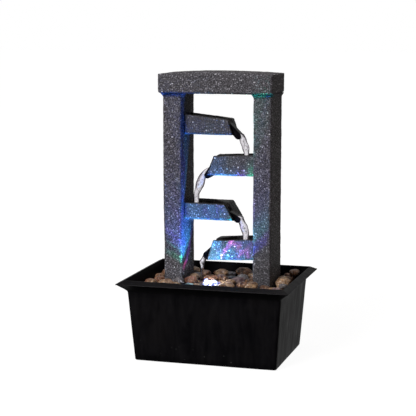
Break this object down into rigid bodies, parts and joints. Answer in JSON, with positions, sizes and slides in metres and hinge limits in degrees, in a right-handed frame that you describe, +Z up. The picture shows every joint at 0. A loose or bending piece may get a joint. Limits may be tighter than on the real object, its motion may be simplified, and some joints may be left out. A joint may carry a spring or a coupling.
{
  "type": "tabletop water fountain",
  "caption": "Tabletop water fountain: granite-look posts and cap hold staggered spouted ledges above a pebble-filled basin with a pump and a light.",
  "frame": {"origin": "on the resting plane under the middle of the basin", "axes": "+Z up, +X to the right seen from the front, +Y to the back; the tower's front faces -Y"},
  "size_m": [0.21, 0.165, 0.3449],
  "materials": {
    "basin_plastic": "satin",
    "rubber_black": "matte",
    "tray_plastic": "matte",
    "pebble_tan": "satin",
    "pebble_brown": "satin",
    "pebble_russet": "satin",
    "pebble_grey": "satin",
    "pebble_plum": "satin",
    "pebble_slate": "gloss",
    "pebble_teal": "satin",
    "granite": "matte",
    "spout_gloss": "gloss",
    "silicone": "satin",
    "pump_plastic": "satin",
    "core_steel": "satin",
    "copper": "satin",
    "shaft_ceramic": "polished",
    "magnet": "matte",
    "impeller_plastic": "satin",
    "slide_plastic": "satin",
    "board": "satin",
    "emitters": "gloss",
    "lens": "gloss"
  },
  "bodies": {
    "basin": {"basin": "basin_plastic", "foot_pads": "rubber_black", "cable_gland": "rubber_black", "tray": "tray_plastic", "pebbles_tan": "pebble_tan", "pebbles_brown": "pebble_brown", "pebbles_russet": "pebble_russet", "pebbles_grey": "pebble_grey", "pebbles_plum": "pebble_plum", "pebbles_slate": "pebble_slate", "pebble_teal": "pebble_teal", "pump_motor_block": "pump_plastic", "stator_core": "core_steel", "stator_coil": "copper", "pump_cover": "pump_plastic", "pump_seal_ring": "rubber_black", "pump_grille": "pump_plastic", "pump_suction_cups": "rubber_black", "rotor_shaft": "shaft_ceramic", "shaft_bushings": "rubber_black", "light_housing": "pump_plastic", "light_board": "board", "light_emitters": "emitters", "light_seal": "rubber_black", "light_lens": "lens", "light_lead": "rubber_black"},
    "tower": {"left_post": "granite", "right_post": "granite", "cap": "granite", "ledge_1": "granite", "ledge_2": "granite", "ledge_3": "granite", "ledge_4": "granite", "spout_1": "spout_gloss", "spout_2": "spout_gloss", "spout_3": "spout_gloss", "spout_4": "spout_gloss", "riser_tube": "silicone", "outlet_elbow": "pump_plastic"},
    "rotor": {"rotor_magnet": "magnet", "impeller": "impeller_plastic"},
    "flow_control": {"flow_slide": "slide_plastic"}
  },
  "joints": [
    {"name": "tower_lift", "type": "slide", "parent": "basin", "child": "tower", "axis": [0, 0, 1], "range_m": [0, 0.08]},
    {"name": "rotor_spin", "type": "hinge", "parent": "basin", "child": "rotor", "pos_m": [-0.0559, 0.0225, 0.027], "axis": [0, 1, 0], "continuous": true},
    {"name": "flow_slide_travel", "type": "slide", "parent": "basin", "child": "flow_control", "axis": [1, 0, 0], "range_m": [0, 0.01]}
  ]
}
